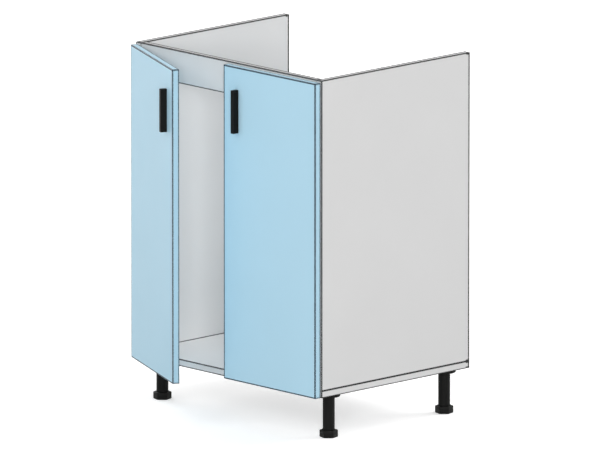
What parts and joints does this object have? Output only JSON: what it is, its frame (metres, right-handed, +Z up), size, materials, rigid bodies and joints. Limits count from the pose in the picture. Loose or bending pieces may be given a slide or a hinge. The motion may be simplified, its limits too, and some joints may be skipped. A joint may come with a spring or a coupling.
{
  "type": "sink base cabinet",
  "caption": "Kitchen sink base cabinet with an open top and back, blue hinged doors, black bar handles and height-adjusting legs.",
  "frame": {"origin": "on the floor, at the middle of the overall footprint with the left door at its stored angle; the carcass is centred on X", "axes": "+X to the right seen from the front, +Y back towards the wall, +Z up"},
  "size_m": [0.6008, 0.5968, 0.82],
  "materials": {
    "carcass_board": "satin melamine facing on chipboard",
    "carcass_band": "satin",
    "door_board": "satin laminate",
    "door_band": "satin",
    "handle_black": "matte powder coat",
    "leg_plastic": "matte",
    "hinge_nickel": "nickel plated",
    "pin_steel": "satin",
    "screw_steel": "zinc plated",
    "cam_zinc": "die cast",
    "dowel_wood": "bare beech",
    "bumper_soft": "clear soft"
  },
  "bodies": {
    "carcass": {"left_side_panel": "carcass_board", "right_side_panel": "carcass_board", "bottom_panel": "carcass_board", "front_rail": "carcass_board", "rear_rail": "carcass_board", "front_bands": "carcass_band", "dowels": "dowel_wood", "assembly_screws": "screw_steel", "cams": "cam_zinc", "cam_bolts": "screw_steel", "leg_screws": "screw_steel", "left_lower_hinge_arm": "hinge_nickel", "left_upper_hinge_arm": "hinge_nickel", "left_arm_pins": "pin_steel", "left_mounting_plates": "hinge_nickel", "left_plate_screws": "screw_steel", "right_lower_hinge_arm": "hinge_nickel", "right_upper_hinge_arm": "hinge_nickel", "right_arm_pins": "pin_steel", "right_mounting_plates": "hinge_nickel", "right_plate_screws": "screw_steel", "front_left_leg_flange": "leg_plastic", "front_left_leg_tube": "leg_plastic", "front_right_leg_flange": "leg_plastic", "front_right_leg_tube": "leg_plastic", "rear_left_leg_flange": "leg_plastic", "rear_left_leg_tube": "leg_plastic", "rear_right_leg_flange": "leg_plastic", "rear_right_leg_tube": "leg_plastic"},
    "left_long_links": {"left_lower_long_link": "hinge_nickel", "left_upper_long_link": "hinge_nickel"},
    "left_short_links": {"left_lower_short_link": "hinge_nickel", "left_upper_short_link": "hinge_nickel"},
    "left_door": {"left_door_panel": "door_board", "left_door_bands": "door_band", "left_handle": "handle_black", "left_handle_screws": "screw_steel", "left_bumpers": "bumper_soft", "left_lower_hinge_cup": "hinge_nickel", "left_upper_hinge_cup": "hinge_nickel", "left_cup_pins": "pin_steel", "left_cup_screws": "screw_steel"},
    "right_long_links": {"right_lower_long_link": "hinge_nickel", "right_upper_long_link": "hinge_nickel"},
    "right_short_links": {"right_lower_short_link": "hinge_nickel", "right_upper_short_link": "hinge_nickel"},
    "right_door": {"right_door_panel": "door_board", "right_door_bands": "door_band", "right_handle": "handle_black", "right_handle_screws": "screw_steel", "right_bumpers": "bumper_soft", "right_lower_hinge_cup": "hinge_nickel", "right_upper_hinge_cup": "hinge_nickel", "right_cup_pins": "pin_steel", "right_cup_screws": "screw_steel"},
    "front_left_foot": {"front_left_foot": "leg_plastic"},
    "front_right_foot": {"front_right_foot": "leg_plastic"},
    "rear_left_foot": {"rear_left_foot": "leg_plastic"},
    "rear_right_foot": {"rear_right_foot": "leg_plastic"}
  },
  "joints": [
    {"name": "left_door_swing", "type": "hinge", "parent": "left_long_links", "child": "left_door", "pos_m": [-0.28697, -0.16493, 0.46], "axis": [0, 0, -1], "range_deg": [-33.25, 93.1]},
    {"name": "left_long_link_swing", "type": "hinge", "parent": "carcass", "child": "left_long_links", "pos_m": [-0.2675, -0.14867, 0.46], "axis": [0, 0, 1], "range_deg": [-8.26, 23.11]},
    {"name": "left_short_link_swing", "type": "hinge", "parent": "carcass", "child": "left_short_links", "pos_m": [-0.264, -0.16797, 0.46], "axis": [0, 0, 1], "range_deg": [-10.38, 29.06]},
    {"name": "right_door_swing", "type": "hinge", "parent": "right_long_links", "child": "right_door", "pos_m": [0.2891, -0.16197, 0.46], "axis": [0, 0, 1], "range_deg": [0, 126.35]},
    {"name": "right_long_link_swing", "type": "hinge", "parent": "carcass", "child": "right_long_links", "pos_m": [0.2675, -0.14867, 0.46], "axis": [0, 0, -1], "range_deg": [-0.01, 31.36]},
    {"name": "right_short_link_swing", "type": "hinge", "parent": "carcass", "child": "right_short_links", "pos_m": [0.264, -0.16797, 0.46], "axis": [0, 0, -1], "range_deg": [-0.01, 39.43]},
    {"name": "front_left_foot_travel", "type": "slide", "parent": "carcass", "child": "front_left_foot", "axis": [0, 0, -1], "range_m": [-0.004, 0.015]},
    {"name": "front_right_foot_travel", "type": "slide", "parent": "carcass", "child": "front_right_foot", "axis": [0, 0, -1], "range_m": [-0.004, 0.015]},
    {"name": "rear_left_foot_travel", "type": "slide", "parent": "carcass", "child": "rear_left_foot", "axis": [0, 0, -1], "range_m": [-0.004, 0.015]},
    {"name": "rear_right_foot_travel", "type": "slide", "parent": "carcass", "child": "rear_right_foot", "axis": [0, 0, -1], "range_m": [-0.004, 0.015]}
  ],
  "couplings": [
    {"joint": "left_long_link_swing", "follows": "left_door_swing", "ratio": 0.24812},
    {"joint": "left_short_link_swing", "follows": "left_door_swing", "ratio": 0.31203},
    {"joint": "right_long_link_swing", "follows": "right_door_swing", "ratio": 0.24812},
    {"joint": "right_short_link_swing", "follows": "right_door_swing", "ratio": 0.31203}
  ]
}
